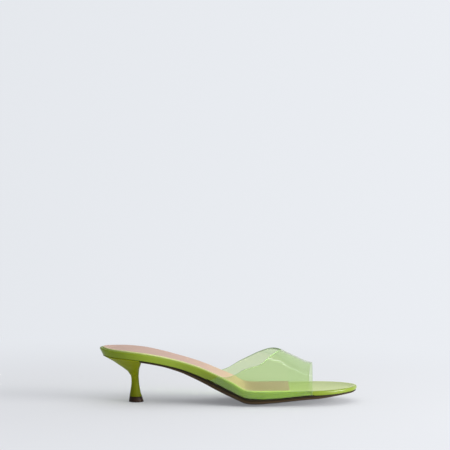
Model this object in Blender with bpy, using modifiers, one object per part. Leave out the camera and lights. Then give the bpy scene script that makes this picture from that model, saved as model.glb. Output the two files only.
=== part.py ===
"""Kitten heel mule sandal for the right foot, with a clear band upper.

Metres, +Z up, the toe points along +X and the lateral side is -Y. The sections are worked out with the back of
the heel at X = 0, and an empty then carries the pieces so that the sandal stands on Z = 0, centred on the origin.
"""
import math

import bmesh
import bpy
import numpy as np
from mathutils import Vector

COLLECTION = "kitten_heel_mule"

# Driving dimensions
LENGTH = 0.2440
BALL_WIDTH = 0.0750
TOE_TIP_OFFSET = 0.00525
HEEL_HEIGHT = 0.0524
TOE_SPRING = 0.0014
INSTEP_HEIGHT = 0.0362
CROWN_OFFSET = 0.0025
FOOTBED_THICKNESS = 0.0064
FOOTBED_EDGE_RADIUS = 0.0014
FOOTBED_DISH = 0.0006
HEEL_END_DRAFT = 0.0024
HEEL_END_LENGTH = 0.0300
OUTSOLE_THICKNESS = 0.0039
OUTSOLE_INSET = 0.0008
OUTSOLE_STEP = 0.0007
OUTSOLE_EDGE_RADIUS = 0.0005
OUTSOLE_RIM = 0.0030
OUTSOLE_BELLY = 0.0035
TREAD_SINK = 0.0004
SOCK_THICKNESS = 0.0007
SOCK_INSET = 0.0030
SOCK_EDGE_RADIUS = 0.0003
SOCK_TO_STRAP_FRONT = 0.0217
UPPER_WALL = 0.0014
MARGIN_WIDTH = 0.0085
MARGIN_TURN_RADIUS = 0.0012
MARGIN_RAMP = 0.0012
TOE_OPENING = 0.0428
STRAP_CROWN_WIDTH = 0.0297
STRAP_SIDE_WIDTH = 0.0977
STRAP_FRONT_RAKE = 0.0012
HEEL_SEAT_LENGTH = 0.0393
HEEL_SEAT_INSET = 0.0008
HEEL_BACK_INSET = 0.0030
HEEL_EDGE_HEIGHT = 0.0008
HEEL_EDGE_RADIUS = 0.0003
TOP_PIECE_DIAMETER = 0.0142
TOP_PIECE_HEIGHT = 0.0050
TOP_PIECE_BEVEL = 0.0004
TOP_PIECE_RAKE = 0.0005
CLEARANCE = 0.0003

# Where the band's edges and the sock's end lie along the sole
STRAP_FRONT = LENGTH - TOE_OPENING
STRAP_THROAT = STRAP_FRONT - STRAP_CROWN_WIDTH
STRAP_REAR = STRAP_FRONT - STRAP_SIDE_WIDTH
SOCK_LENGTH = STRAP_FRONT - SOCK_TO_STRAP_FRONT

# Height of the footbed's top over the floor at the ball
BALL_SHARE = 0.98
BALL_TOP = OUTSOLE_BELLY - TREAD_SINK + OUTSOLE_THICKNESS + CLEARANCE + BALL_SHARE * FOOTBED_THICKNESS

# Plan outline: station as a share of LENGTH, then the half widths as shares of BALL_WIDTH
OUTLINE_COLUMNS = ("station", "lateral", "medial")
OUTLINE = (
    (0.0110, 0.141, 0.141),
    (0.0330, 0.239, 0.239),
    (0.0650, 0.316, 0.316),
    (0.1140, 0.377, 0.375),
    (0.1750, 0.393, 0.391),
    (0.2450, 0.368, 0.357),
    (0.3060, 0.344, 0.321),
    (0.3750, 0.355, 0.324),
    (0.4290, 0.384, 0.340),
    (0.4780, 0.427, 0.378),
    (0.5220, 0.466, 0.424),
    (0.5710, 0.494, 0.468),
    (0.6200, 0.501, 0.488),
    (0.6730, 0.494, 0.499),
    (0.7300, 0.481, 0.504),
    (0.7850, 0.466, 0.503),
    (0.8350, 0.446, 0.506),
    (0.8760, 0.411, 0.485),
    (0.9140, 0.352, 0.440),
    (0.9470, 0.272, 0.374),
    (0.9700, 0.190, 0.301),
    (0.9880, 0.095, 0.220),
)

# Side view: the share of the heel's rise, the share of TOE_SPRING, and both thicknesses
SIDE_COLUMNS = ("station", "rise", "spring", "footbed", "outsole")
SIDE = (
    (0.000, 1.000, 0.00, 1.00, 0.41),
    (0.049, 0.966, 0.00, 1.00, 0.41),
    (0.098, 0.946, 0.00, 1.00, 0.41),
    (0.163, 0.902, 0.00, 1.00, 0.41),
    (0.233, 0.822, 0.00, 1.00, 0.42),
    (0.310, 0.703, 0.00, 1.01, 0.69),
    (0.367, 0.597, 0.00, 1.11, 1.03),
    (0.408, 0.504, 0.00, 1.20, 1.20),
    (0.449, 0.393, 0.00, 1.25, 1.34),
    (0.482, 0.297, 0.00, 1.27, 1.29),
    (0.522, 0.175, 0.00, 1.25, 1.14),
    (0.545, 0.087, 0.00, 1.14, 1.04),
    (0.562, 0.034, 0.00, 1.08, 1.03),
    (0.584, 0.009, 0.00, 1.06, 1.01),
    (0.629, 0.000, 0.00, 1.05, 0.91),
    (0.660, 0.000, 0.08, 1.04, 0.79),
    (0.714, 0.000, 0.20, 0.92, 0.74),
    (0.776, 0.000, 0.45, 0.76, 0.76),
    (0.822, 0.000, 0.60, 0.67, 0.79),
    (0.873, 0.000, 0.72, 0.65, 0.64),
    (0.914, 0.000, 0.86, 0.63, 0.45),
    (0.947, 0.000, 1.00, 0.59, 0.39),
    (0.971, 0.000, 1.05, 0.56, 0.36),
    (1.000, 0.000, 1.30, 0.53, 0.34),
)

# How full the outsole's belly is along the sole, as a share of OUTSOLE_BELLY
BELLY_COLUMNS = ("station", "belly")
BELLY = (
    (0.00, 0.10),
    (0.30, 0.15),
    (0.45, 0.35),
    (0.55, 0.90),
    (0.60, 1.00),
    (0.68, 1.00),
    (0.80, 0.70),
    (0.92, 0.30),
    (1.00, 0.10),
)

# Height of the upper's crown over the footbed, as shares of INSTEP_HEIGHT
CROWN_COLUMNS = ("station", "height")
CROWN = (
    (0.410, 0.926),
    (0.482, 1.030),
    (0.543, 1.146),
    (0.604, 1.138),
    (0.637, 1.090),
    (0.669, 1.045),
    (0.700, 1.004),
    (0.735, 0.890),
    (0.776, 0.755),
    (0.800, 0.677),
    (0.822, 0.636),
    (0.850, 0.590),
)

# Half sections of the upper from the crown to the footbed's edge: how far out, and how high
SECTION_COLUMNS = ("place", "lateral_out", "lateral_up", "medial_out", "medial_up")
SECTION = (
    (0.00, 0.000, 1.000, 0.000, 1.000),
    (0.14, 0.145, 0.980, 0.150, 0.982),
    (0.28, 0.300, 0.915, 0.305, 0.930),
    (0.42, 0.460, 0.822, 0.460, 0.848),
    (0.56, 0.620, 0.718, 0.612, 0.742),
    (0.68, 0.768, 0.606, 0.755, 0.618),
    (0.78, 0.880, 0.480, 0.868, 0.490),
    (0.86, 0.950, 0.345, 0.942, 0.355),
    (0.93, 0.988, 0.185, 0.985, 0.195),
    (1.00, 1.000, 0.000, 1.000, 0.000),
)

# Topline: how far back of the throat it lies, as a share of the way from the throat to the strap's rear end
TOPLINE_COLUMNS = ("place", "lateral_back", "medial_back")
TOPLINE = (
    (0.00, 0.004, 0.010),
    (0.08, 0.010, 0.060),
    (0.18, 0.040, 0.116),
    (0.28, 0.082, 0.168),
    (0.38, 0.135, 0.224),
    (0.46, 0.175, 0.268),
    (0.54, 0.214, 0.320),
    (0.62, 0.260, 0.388),
    (0.68, 0.326, 0.448),
    (0.74, 0.440, 0.506),
    (0.80, 0.530, 0.558),
    (0.87, 0.600, 0.622),
    (0.94, 0.700, 0.714),
    (1.00, 0.868, 0.826),
)

# The same for the margin: where it starts to turn in, and at its inner end
MARGIN_BACK = (0.965, 0.985)

# The heel's stem: height, the axis along the seat and the diameter
STEM_COLUMNS = ("height", "axis", "diameter")
STEM = (
    (0.000, 0.866, 0.840),
    (0.080, 0.857, 0.725),
    (0.192, 0.856, 0.620),
    (0.282, 0.855, 0.548),
    (0.402, 0.852, 0.500),
    (0.520, 0.844, 0.515),
)

# The heel's flare: height, its rear and breast along the seat, the half width as a share of the seat's, and how
# far the section has gone from round to the seat's own shape with a flat breast
FLARE_COLUMNS = ("height", "rear", "breast", "width", "seat")
FLARE = (
    (0.586, 0.712, 0.940, 0.210, 0.08),
    (0.645, 0.676, 0.944, 0.270, 0.25),
    (0.705, 0.608, 0.952, 0.375, 0.45),
    (0.770, 0.528, 0.970, 0.515, 0.65),
    (0.845, 0.424, 0.994, 0.680, 0.85),
    (0.930, 0.310, 1.000, 0.840, 1.00),
    (0.965, 0.252, 1.000, 0.889, 1.00),
)

# How closely the pieces are sampled, round the heel and the toe, in the bend behind the ball and between them
MESH_MERGE = 1e-6
ROUND_STEPS = 9
HEEL_ROUND_LENGTH = 0.0280
TOE_ROUND_LENGTH = 0.0340
BEND_TO_TOE = 0.1220
BEND_LENGTH = 0.0270
STATION_STEP = 0.0060
BEND_STEP = 0.0027
ACROSS_STEPS = 5
OUTLINE_STEPS = 24
STRAP_STEPS = 26
CROWN_STEPS = 14
HEEL_AROUND = 40


def column(table, columns, name):
    """One named column of a table, as an array."""
    place = columns.index(name)
    return np.array([row[place] for row in table])


def smooth_line(places, values):
    """A cubic through a table's rows that never swings past them."""
    steps = np.diff(places)
    slopes = np.diff(values) / steps
    tangents = np.zeros(len(places))
    tangents[0] = slopes[0]
    tangents[-1] = slopes[-1]
    for i in range(1, len(places) - 1):
        before, after = slopes[i - 1], slopes[i]
        if before * after > 0:
            weight_before = 2 * steps[i] + steps[i - 1]
            weight_after = steps[i] + 2 * steps[i - 1]
            tangents[i] = (weight_before + weight_after) / (weight_before / before + weight_after / after)

    def value(place):
        place = min(max(place, places[0]), places[-1])
        i = int(np.searchsorted(places, place, side="right")) - 1
        i = min(max(i, 0), len(steps) - 1)
        t = (place - places[i]) / steps[i]
        rest = 1 - t
        start = values[i] * (1 + 2 * t) * rest * rest + tangents[i] * steps[i] * t * rest * rest
        end = values[i + 1] * t * t * (3 - 2 * t) - tangents[i + 1] * steps[i] * t * t * rest
        return start + end

    return value


def table_line(table, columns, name):
    return smooth_line(column(table, columns, columns[0]), column(table, columns, name))


RISE = table_line(SIDE, SIDE_COLUMNS, "rise")
SPRING = table_line(SIDE, SIDE_COLUMNS, "spring")
FOOTBED_SHARE = table_line(SIDE, SIDE_COLUMNS, "footbed")
OUTSOLE_SHARE = table_line(SIDE, SIDE_COLUMNS, "outsole")
BELLY_SHARE = table_line(BELLY, BELLY_COLUMNS, "belly")
CROWN_SHARE = table_line(CROWN, CROWN_COLUMNS, "height")


def footbed_top(x):
    share = x / LENGTH
    return BALL_TOP + RISE(share) * (HEEL_HEIGHT - BALL_TOP) + SPRING(share) * TOE_SPRING


def footbed_bottom(x):
    return footbed_top(x) - FOOTBED_SHARE(x / LENGTH) * FOOTBED_THICKNESS


def outsole_edge_bottom(x):
    return footbed_bottom(x) - CLEARANCE - OUTSOLE_SHARE(x / LENGTH) * OUTSOLE_THICKNESS


def incline(x):
    """How much longer a vertical line through a sloping sheet under the footbed is than the sheet is thick."""
    reach = 0.001 * LENGTH
    slope = (footbed_bottom(x + reach) - footbed_bottom(x - reach)) / (2 * reach)
    return math.hypot(1.0, slope)


def closed_curve(points, steps):
    """Points on a smooth closed curve through the given ones."""
    count = len(points)
    curve = []
    for i in range(count):
        before, start, end, after = (points[(i + k) % count] for k in (-1, 0, 1, 2))
        for t in np.arange(steps) / steps:
            curve.append(0.5 * (2 * start + (end - before) * t
                                + (2 * before - 5 * start + 4 * end - after) * t ** 2
                                + (3 * start - before - 3 * end + after) * t ** 3))
    return np.array(curve)


def plan_sides():
    """Both sides of the plan outline as dense lines from heel to toe, with their inward normals."""
    stations = column(OUTLINE, OUTLINE_COLUMNS, "station") * LENGTH
    lateral = np.column_stack([stations, -column(OUTLINE, OUTLINE_COLUMNS, "lateral") * BALL_WIDTH])
    medial = np.column_stack([stations, column(OUTLINE, OUTLINE_COLUMNS, "medial") * BALL_WIDTH])
    toe = np.array([[LENGTH, TOE_TIP_OFFSET]])
    points = np.vstack([[[0.0, 0.0]], lateral, toe, medial[::-1]])
    curve = closed_curve(points, OUTLINE_STEPS)
    tangents = np.roll(curve, -1, axis=0) - np.roll(curve, 1, axis=0)
    tangents /= np.linalg.norm(tangents, axis=1)[:, None]
    normals = np.column_stack([-tangents[:, 1], tangents[:, 0]])
    tip = (len(lateral) + 1) * OUTLINE_STEPS
    forward = list(range(tip + 1))
    back = [0] + list(range(len(curve) - 1, tip - 1, -1))
    return (curve[forward], normals[forward]), (curve[back], normals[back])


LATERAL_SIDE, MEDIAL_SIDE = plan_sides()


def edge_point(side, x, inset):
    """The point of a side's outline at a station, moved inward."""
    line, normals = side
    place = np.interp(x, line[:, 0], np.arange(len(line)))
    low = min(int(place), len(line) - 2)
    share = place - low
    point = line[low] * (1 - share) + line[low + 1] * share
    normal = normals[low] * (1 - share) + normals[low + 1] * share
    return point + normal / np.linalg.norm(normal) * inset


def half_widths(x):
    return -edge_point(LATERAL_SIDE, x, 0)[1], edge_point(MEDIAL_SIDE, x, 0)[1]


def station_list(start, end):
    """Stations between two ends: close together round the heel and the toe and in the bend behind the ball."""
    crowding = 1 - np.cos(np.linspace(0, math.pi / 2, ROUND_STEPS + 1))
    heel = crowding * HEEL_ROUND_LENGTH
    toe = LENGTH - crowding[::-1] * TOE_ROUND_LENGTH
    bend = LENGTH - BEND_TO_TOE
    places = (heel[-1], bend, bend + BEND_LENGTH, toe[0])
    lines = [heel, toe]
    for low, high, step in zip(places, places[1:], (STATION_STEP, BEND_STEP, STATION_STEP)):
        lines.append(np.linspace(low, high, round((high - low) / step) + 1))

    def far_enough(x, cut):
        return cut in (0.0, LENGTH) or abs(x - cut) > STATION_STEP / 3

    stations = sorted(set(np.concatenate(lines)))
    return [start] + [x for x in stations if start < x < end and far_enough(x, start) and far_enough(x, end)] + [end]


def make_object(name, mesh_data, colour, roughness, metallic=0.0, alpha=1.0):
    """One named piece in the sandal's collection, with its own material."""
    mesh = bpy.data.meshes.new(name)
    mesh_data.to_mesh(mesh)
    mesh_data.free()
    mesh.shade_smooth()
    mesh.set_sharp_from_angle(angle=math.radians(40))
    piece = bpy.data.objects.new(name, mesh)
    material = bpy.data.materials.new(name)
    material.use_nodes = True
    shader = material.node_tree.nodes["Principled BSDF"]
    shader.inputs["Base Color"].default_value = (*colour, 1.0)
    shader.inputs["Roughness"].default_value = roughness
    shader.inputs["Metallic"].default_value = metallic
    shader.inputs["Alpha"].default_value = alpha
    mesh.materials.append(material)
    bpy.data.collections[COLLECTION].objects.link(piece)
    return piece


def loft(rows, start_cap, end_cap):
    """A closed mesh through rings of equal count; a ring that shrinks to a line closes by itself."""
    data = bmesh.new()
    rings = [[data.verts.new(Vector(point)) for point in row] for row in rows]
    count = len(rings[0])
    for ring, following in zip(rings, rings[1:]):
        for i in range(count):
            j = (i + 1) % count
            data.faces.new((ring[i], ring[j], following[j], following[i]))
    if start_cap:
        data.faces.new(rings[0][::-1])
    if end_cap:
        data.faces.new(rings[-1])
    bmesh.ops.remove_doubles(data, verts=data.verts, dist=MESH_MERGE)
    bmesh.ops.dissolve_degenerate(data, edges=data.edges, dist=MESH_MERGE)
    bmesh.ops.recalc_face_normals(data, faces=data.faces)
    return data


def slab_row(x, layers, top, bottom, end_x=None):
    """One section of a flat piece: up the lateral edge, over the top, down the medial edge and back below.

    Each layer is an inset from the outline and a height over the floor at a station.
    """
    sides = []
    for side in (LATERAL_SIDE, MEDIAL_SIDE):
        points = []
        for inset, height in layers:
            point = edge_point(side, x, inset(x))
            place = point[0] if end_x is None else end_x
            points.append((place, point[1], height(place)))
        sides.append(points)
    lateral, medial = sides

    def across(start, end, surface):
        points = []
        fullness = min(abs(end[1] - start[1]) / (BALL_WIDTH / 2), 1.0)
        for share in np.arange(1, ACROSS_STEPS) / ACROSS_STEPS:
            place_x = start[0] + (end[0] - start[0]) * share
            place_y = start[1] + (end[1] - start[1]) * share
            middle = (1 - (2 * share - 1) ** 2) * fullness
            points.append((place_x, place_y, surface(place_x, middle)))
        return points

    over = across(lateral[-1], medial[-1], top)
    under = across(medial[0], lateral[0], bottom)
    return lateral + over + medial[::-1] + under


def constant(value):
    return lambda x: value


def build_footbed():
    """The wrapped slab, rebated below its edge where the upper's margin turns in."""
    ramp = MARGIN_RAMP
    rear = STRAP_REAR - ramp
    front = STRAP_FRONT + CLEARANCE

    def under_strap(x):
        into = min(x - (rear - ramp), front + ramp - x)
        return min(max(into / ramp, 0.0), 1.0)

    def rebate(x):
        return under_strap(x) * (UPPER_WALL * incline(x) + CLEARANCE)

    def rebate_inset(x):
        return FOOTBED_EDGE_RADIUS * 2 + under_strap(x) * (MARGIN_WIDTH + CLEARANCE - FOOTBED_EDGE_RADIUS) + draft(x)

    def draft(x):
        return HEEL_END_DRAFT * max(1 - x / HEEL_END_LENGTH, 0.0) ** 2

    def drawn_in(inset):
        return lambda x: inset + draft(x)

    def edge_radius(x):
        return min(FOOTBED_EDGE_RADIUS, 0.4 * (footbed_top(x) - footbed_bottom(x) - rebate(x)))

    def low(share):
        return lambda x: footbed_bottom(x) + rebate(x) + share * edge_radius(x)

    def high(share):
        return lambda x: footbed_top(x) - share * edge_radius(x)

    def step_foot(x):
        return rebate_inset(x) + CLEARANCE

    layers = (
        (step_foot, footbed_bottom),
        (rebate_inset, low(0.0)),
        (drawn_in(FOOTBED_EDGE_RADIUS), low(0.0)),
        (drawn_in(0.3 * FOOTBED_EDGE_RADIUS), low(0.3)),
        (drawn_in(0.0), low(1.0)),
        (constant(0.0), high(1.0)),
        (constant(0.3 * FOOTBED_EDGE_RADIUS), high(0.3)),
        (constant(FOOTBED_EDGE_RADIUS), high(0.0)),
        (constant(SOCK_INSET), high(0.0)),
    )

    def top(x, middle):
        return footbed_top(x) - middle * FOOTBED_DISH

    def bottom(x, middle):
        return footbed_bottom(x)

    stations = station_list(0.0, LENGTH)
    ramps = [rear - ramp, rear, front, front + ramp]
    kept = [x for x in stations if all(abs(x - place) > ramp for place in ramps)]
    rows = [slab_row(x, layers, top, bottom) for x in sorted(kept + ramps)]
    return make_object("footbed", loft(rows, False, False), (0.24, 0.34, 0.04), 0.42)


def build_sock():
    """The thin lining on the footbed, from the heel to just under the band, cut straight across."""
    def base(x):
        return footbed_top(x) + CLEARANCE

    def crest(x):
        return base(x) + SOCK_THICKNESS

    def shoulder(x):
        return crest(x) - SOCK_EDGE_RADIUS

    layers = (
        (constant(SOCK_INSET), base),
        (constant(SOCK_INSET), shoulder),
        (constant(SOCK_INSET + SOCK_EDGE_RADIUS), crest),
    )

    def top(x, middle):
        return crest(x) - middle * FOOTBED_DISH

    def bottom(x, middle):
        return base(x) - middle * FOOTBED_DISH

    stations = station_list(0.0, SOCK_LENGTH)
    rows = [slab_row(x, layers, top, bottom) for x in stations[:-1]]
    rows.append(slab_row(SOCK_LENGTH, layers, top, bottom, end_x=SOCK_LENGTH))
    return make_object("sock", loft(rows, False, True), (0.66, 0.44, 0.37), 0.6)


def build_outsole():
    """The outsole from the heel's breast to the toe: a set-back band over a proud lower edge, and a belly."""
    start = HEEL_SEAT_LENGTH + CLEARANCE

    def top_edge(x):
        return footbed_bottom(x) - CLEARANCE

    def at(share):
        return lambda x: outsole_edge_bottom(x) + share * (top_edge(x) - outsole_edge_bottom(x))

    def bottom_surface(x, middle):
        drop = BELLY_SHARE(x / LENGTH) * OUTSOLE_BELLY * middle
        return max(outsole_edge_bottom(x) - drop, 0.0)

    def top_surface(x, middle):
        return top_edge(x)

    rim_share = 2 * OUTSOLE_RIM / BALL_WIDTH
    rim_fullness = 1 - (1 - 2 * rim_share) ** 2
    band = OUTSOLE_INSET + OUTSOLE_STEP
    layers = (
        (constant(OUTSOLE_INSET + OUTSOLE_RIM), lambda x: bottom_surface(x, rim_fullness)),
        (constant(OUTSOLE_INSET + OUTSOLE_EDGE_RADIUS), at(0.0)),
        (constant(OUTSOLE_INSET), at(0.15)),
        (constant(OUTSOLE_INSET), at(0.52)),
        (constant(band), at(0.58)),
        (constant(band), at(1.0)),
        (constant(band + OUTSOLE_RIM), at(1.0)),
    )
    stations = station_list(start, LENGTH)
    rows = [slab_row(start, layers, top_surface, bottom_surface, end_x=start)]
    rows += [slab_row(x, layers, top_surface, bottom_surface) for x in stations[1:]]
    return make_object("outsole", loft(rows, True, False), (0.075, 0.035, 0.02), 0.5)


def heel_ring(rear, breast, half_lateral, half_medial, seat, height):
    """A ring round the heel: round when seat is 0, the seat's own outline with a flat breast when it is 1."""
    breast_depth = (breast - rear) * (0.5 - 0.42 * seat)
    centre = breast - breast_depth
    power = 2 / (2 + 5 * seat)
    full_lateral, full_medial = half_widths(HEEL_SEAT_LENGTH)
    ring = []
    for angle in np.arange(HEEL_AROUND) / HEEL_AROUND * 2 * math.pi:
        along, out = math.cos(angle), math.sin(angle)
        if along >= 0:
            x = centre + breast_depth * abs(along) ** power
            round_out = abs(out) ** power
            seat_out = round_out
        else:
            x = centre - (centre - rear) * abs(along)
            round_out = abs(out)
            place = (x - rear) / (centre - rear) * HEEL_SEAT_LENGTH
            widths = half_widths(max(place, 0.0))
            seat_out = widths[0] / full_lateral if out < 0 else widths[1] / full_medial
        share = (1 - seat) * round_out + seat * seat_out
        y = -half_lateral * share if out < 0 else half_medial * share
        z = height(x) if callable(height) else height
        ring.append((x, y, z))
    return ring


def build_heel():
    """The covered heel: a stem on the top piece that flares to the seat under the footbed."""
    foot = TOP_PIECE_HEIGHT + CLEARANCE
    seat_height = footbed_bottom(HEEL_SEAT_LENGTH) - CLEARANCE
    full = seat_height - foot
    lateral, medial = (width - HEEL_SEAT_INSET for width in half_widths(HEEL_SEAT_LENGTH))
    rows = []
    for height, axis, diameter in STEM:
        radius = diameter * TOP_PIECE_DIAMETER / 2
        centre = axis * HEEL_SEAT_LENGTH
        rows.append(heel_ring(centre - radius, centre + radius, radius, radius, 0.0, foot + height * full))
    for height, rear, breast, width, seat in FLARE:
        rows.append(heel_ring(rear * HEEL_SEAT_LENGTH, breast * HEEL_SEAT_LENGTH, width * lateral,
                              width * medial, seat, foot + height * full))

    def under_footbed(x):
        return footbed_bottom(x) - CLEARANCE

    for round_in, drop in ((0.0, HEEL_EDGE_HEIGHT), (HEEL_EDGE_RADIUS, 0.0)):
        rows.append(heel_ring(HEEL_BACK_INSET + round_in, HEEL_SEAT_LENGTH - round_in, lateral - round_in,
                              medial - round_in, 1.0, lambda x: under_footbed(x) - drop))
    return make_object("heel", loft(rows, True, True), (0.24, 0.27, 0.03), 0.42)


def build_top_piece():
    """The round lift that the heel stands on, a little wider at the floor."""
    low_radius = TOP_PIECE_DIAMETER / 2
    high_radius = STEM[0][2] * low_radius
    high_centre = STEM[0][1] * HEEL_SEAT_LENGTH
    low_centre = high_centre + TOP_PIECE_RAKE
    slope = TOP_PIECE_BEVEL / TOP_PIECE_HEIGHT
    rows = []
    for share, inset in ((0.0, TOP_PIECE_BEVEL), (slope, 0.0), (0.45, 0.0), (1.0, 0.0)):
        radius = low_radius + (high_radius - low_radius) * share - inset
        centre = low_centre + (high_centre - low_centre) * share
        height = share * TOP_PIECE_HEIGHT
        rows.append(heel_ring(centre - radius, centre + radius, radius, radius, 0.0, height))
    return make_object("top_piece", loft(rows, True, True), (0.04, 0.015, 0.01), 0.45)


def upper_point(side, place, x):
    """A point of the upper's inner face: place runs from 0 at the crown to 1 at the footbed's top edge, to 2
    where the margin starts to turn in under the footbed, and to 3 at the margin's inner end."""
    sign, out_line, up_line, width = side
    edge = width(x) + CLEARANCE
    top = footbed_top(x)
    under = footbed_bottom(x) + UPPER_WALL * incline(x)
    turn = MARGIN_TURN_RADIUS
    if place <= 1:
        crown_y = CROWN_OFFSET
        height = CROWN_SHARE(x / LENGTH) * INSTEP_HEIGHT - UPPER_WALL
        y = crown_y + (sign * edge - crown_y) * out_line(place)
        return (x, y, top + height * up_line(place))
    if place <= 2:
        return (x, sign * edge, top + (under + turn - top) * (place - 1))
    angle = min(place - 2, 0.5) * math.pi
    y = edge - turn + turn * math.cos(angle)
    z = under + turn - turn * math.sin(angle)
    inward = max(place - 2.5, 0.0) * 2 * (MARGIN_WIDTH - turn)
    return (x, sign * (y - inward), z)


def build_upper():
    """The clear band: one sheet from margin to margin over the crown, given its wall's thickness."""
    sides = {}
    for name, sign, edge in (("lateral", -1, LATERAL_SIDE), ("medial", 1, MEDIAL_SIDE)):
        out_line = table_line(SECTION, SECTION_COLUMNS, name + "_out")
        up_line = table_line(SECTION, SECTION_COLUMNS, name + "_up")
        back_line = table_line(TOPLINE, TOPLINE_COLUMNS, name + "_back")
        width = (lambda line: lambda x: abs(edge_point(line, x, 0)[1]))(edge)
        sides[name] = ((sign, out_line, up_line, width), back_line)
    over = list(np.linspace(0, 1, CROWN_STEPS + 1))
    down = [1.5, 2.0]
    turn = [2.17, 2.33, 2.5]
    inward = [2.75, 3.0]
    places = over + down + turn + inward
    across = [("lateral", place) for place in places[::-1]] + [("medial", place) for place in places[1:]]

    def rear_end(name, place):
        reach = STRAP_THROAT - STRAP_REAR
        back = sides[name][1](min(place, 1.0))
        back += (MARGIN_BACK[0] - back) * min(max(place - 1, 0.0), 1.0)
        back += (MARGIN_BACK[1] - back) * min(max(place - 2, 0.0), 1.0)
        return STRAP_THROAT - back * reach

    def front_end(place):
        return STRAP_FRONT - STRAP_FRONT_RAKE * min(place, 1.0)

    data = bmesh.new()
    rows = []
    for share in np.linspace(0, 1, STRAP_STEPS + 1):
        row = []
        for name, place in across:
            start = rear_end(name, place)
            x = start + (front_end(place) - start) * share
            row.append(data.verts.new(Vector(upper_point(sides[name][0], place, x))))
        rows.append(row)
    for row, following in zip(rows, rows[1:]):
        for i in range(len(row) - 1):
            data.faces.new((row[i], row[i + 1], following[i + 1], following[i]))
    bmesh.ops.recalc_face_normals(data, faces=data.faces)
    top_face = max(data.faces, key=lambda face: face.calc_center_median().z)
    if top_face.normal.z < 0:
        bmesh.ops.reverse_faces(data, faces=data.faces)
    piece = make_object("upper", data, (0.56, 0.75, 0.42), 0.08, alpha=0.4)
    shell = piece.modifiers.new("wall", "SOLIDIFY")
    shell.thickness = UPPER_WALL
    shell.offset = 1.0
    shell.use_even_offset = True
    shell.thickness_clamp = 0.0
    return piece


def stand_on_floor(pieces):
    """Carry the pieces on an empty that centres their box on the origin, with its base on the floor."""
    bpy.context.view_layer.update()
    depsgraph = bpy.context.evaluated_depsgraph_get()
    corners = []
    for piece in pieces:
        shape = piece.evaluated_get(depsgraph)
        corners += [tuple(vertex.co) for vertex in shape.data.vertices]
    corners = np.array(corners)
    low, high = corners.min(axis=0), corners.max(axis=0)
    origin = bpy.data.objects.new("shoe_origin", None)
    bpy.data.collections[COLLECTION].objects.link(origin)
    origin.location = (-(low[0] + high[0]) / 2, -(low[1] + high[1]) / 2, -low[2])
    for piece in pieces:
        piece.parent = origin


def main():
    for item in list(bpy.data.objects):
        bpy.data.objects.remove(item)
    collection = bpy.data.collections.new(COLLECTION)
    bpy.context.scene.collection.children.link(collection)
    pieces = [build_footbed(), build_sock(), build_outsole(), build_heel(), build_top_piece(), build_upper()]
    stand_on_floor(pieces)


main()
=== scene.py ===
"""Looks of the kitten heel mule: its clear band, wrapped footbed and heel, sock lining, outsole and lift.

Metres, +Z up, the toe points along +X and the outer side is -Y. The sections are worked out with the back of
the heel at X = 0 and the shoe's middle line at Y = 0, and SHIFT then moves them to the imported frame's place.
"""

import math

import bmesh
import bpy
import numpy as np
from mathutils import Matrix, Vector


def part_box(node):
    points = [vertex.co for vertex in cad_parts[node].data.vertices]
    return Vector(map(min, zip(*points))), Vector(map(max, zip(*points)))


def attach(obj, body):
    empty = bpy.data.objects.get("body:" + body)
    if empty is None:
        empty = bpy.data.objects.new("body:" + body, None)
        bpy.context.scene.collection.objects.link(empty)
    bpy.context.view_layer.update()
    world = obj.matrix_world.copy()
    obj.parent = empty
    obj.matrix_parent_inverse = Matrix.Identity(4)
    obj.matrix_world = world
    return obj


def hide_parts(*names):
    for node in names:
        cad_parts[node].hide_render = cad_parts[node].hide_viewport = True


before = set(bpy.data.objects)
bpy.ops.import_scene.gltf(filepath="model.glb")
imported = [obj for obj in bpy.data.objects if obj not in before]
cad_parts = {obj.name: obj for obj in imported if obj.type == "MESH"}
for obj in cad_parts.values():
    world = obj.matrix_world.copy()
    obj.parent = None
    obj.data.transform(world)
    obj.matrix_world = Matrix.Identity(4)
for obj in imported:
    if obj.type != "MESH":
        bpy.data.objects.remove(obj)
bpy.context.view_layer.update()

# Driving sizes of the shoe
LENGTH = 0.2440
BALL_WIDTH = 0.0750
TOE_TIP_OFFSET = 0.00525
HEEL_HEIGHT = 0.0524
TOE_SPRING = 0.0014
INSTEP_HEIGHT = 0.0362
CROWN_OFFSET = 0.0025
FOOTBED_THICKNESS = 0.0064
FOOTBED_EDGE_RADIUS = 0.0014
FOOTBED_LOW_RADIUS = 0.0006
FOOTBED_DISH = 0.0006
HEEL_END_DRAFT = 0.0024
HEEL_END_LENGTH = 0.0300
OUTSOLE_THICKNESS = 0.0039
OUTSOLE_INSET = 0.0008
OUTSOLE_STEP = 0.0007
OUTSOLE_EDGE_RADIUS = 0.0005
OUTSOLE_RIM = 0.0030
OUTSOLE_BELLY = 0.0035
TREAD_SINK = 0.0004
SOCK_THICKNESS = 0.0007
SOCK_INSET = 0.0030
SOCK_EDGE_RADIUS = 0.0006
SOCK_TO_STRAP_FRONT = 0.0217
UPPER_WALL = 0.0014
MARGIN_WIDTH = 0.0085
MARGIN_TURN_RADIUS = 0.0012
MARGIN_RAMP = 0.0012
MARGIN_WALL = 0.0004
CUT_EDGE_ROUND = 0.00015
TOE_OPENING = 0.0428
STRAP_CROWN_WIDTH = 0.0297
STRAP_SIDE_WIDTH = 0.0977
STRAP_FRONT_RAKE = 0.0012
HEEL_SEAT_LENGTH = 0.0393
HEEL_SEAT_INSET = 0.0008
HEEL_BACK_INSET = 0.0030
HEEL_EDGE_HEIGHT = 0.0008
HEEL_EDGE_RADIUS = 0.0003
TOP_PIECE_DIAMETER = 0.0142
TOP_PIECE_HEIGHT = 0.0050
TOP_PIECE_BEVEL = 0.0004
TOP_PIECE_RAKE = 0.0005
CLEARANCE = 0.0003
STRAP_FRONT = LENGTH - TOE_OPENING
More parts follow.
